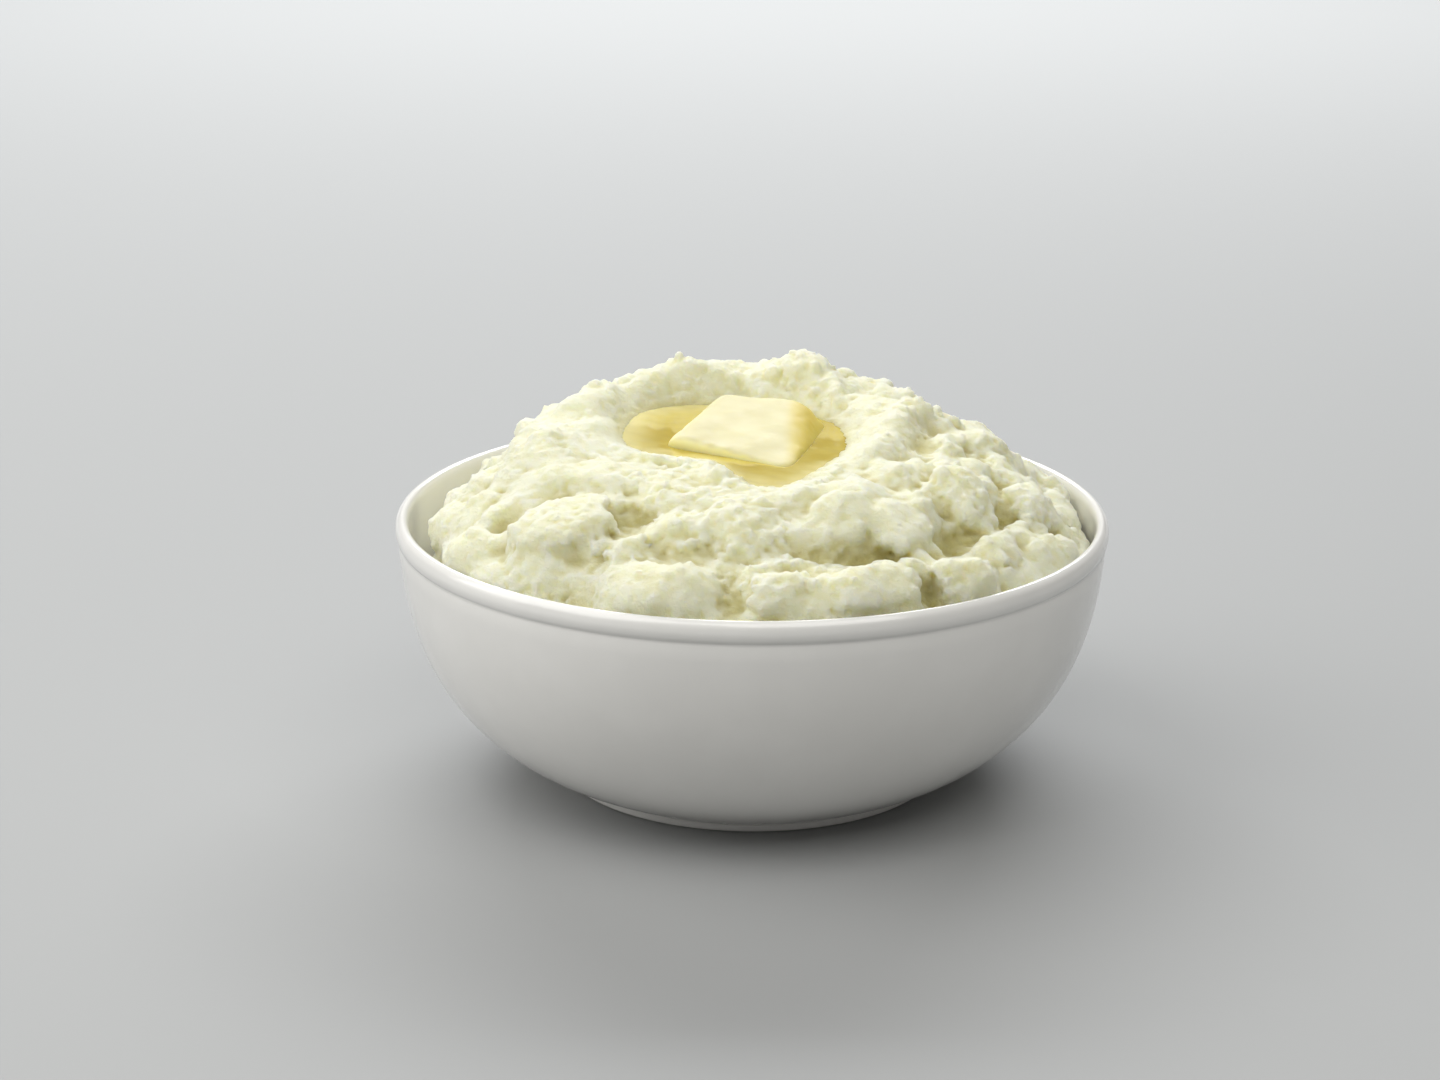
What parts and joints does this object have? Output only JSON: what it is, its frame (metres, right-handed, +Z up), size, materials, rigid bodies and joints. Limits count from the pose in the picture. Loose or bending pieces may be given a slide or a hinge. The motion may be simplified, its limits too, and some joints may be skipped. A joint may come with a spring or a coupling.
{
  "type": "bowl of mashed potato with butter",
  "caption": "Deep round white serving bowl heaped with lumpy mashed potato, with a pat of butter melting in a hollow on top.",
  "frame": {"origin": "on the bowl's axis, in the plane its foot ring stands on", "axes": "+Z up along the bowl's axis; -Y is the front, where the lip of the butter's hollow is lowest; +X is to the right seen from the front"},
  "size_m": [0.2, 0.2, 0.1087],
  "materials": {
    "glaze": "plain white gloss glaze over a smooth thrown form",
    "mash": "moist, soft and lumpy boiled potato, pale cream",
    "butter": "soft waxy butter with a thin sheen, warming at the edges",
    "butter_oil": "melted butter, wet and glossy, a clear gold where it is deep"
  },
  "bodies": {
    "root": {"bowl": "glaze", "mashed_potato": "mash", "butter_pat": "butter", "melted_butter": "butter_oil"}
  },
  "joints": []
}
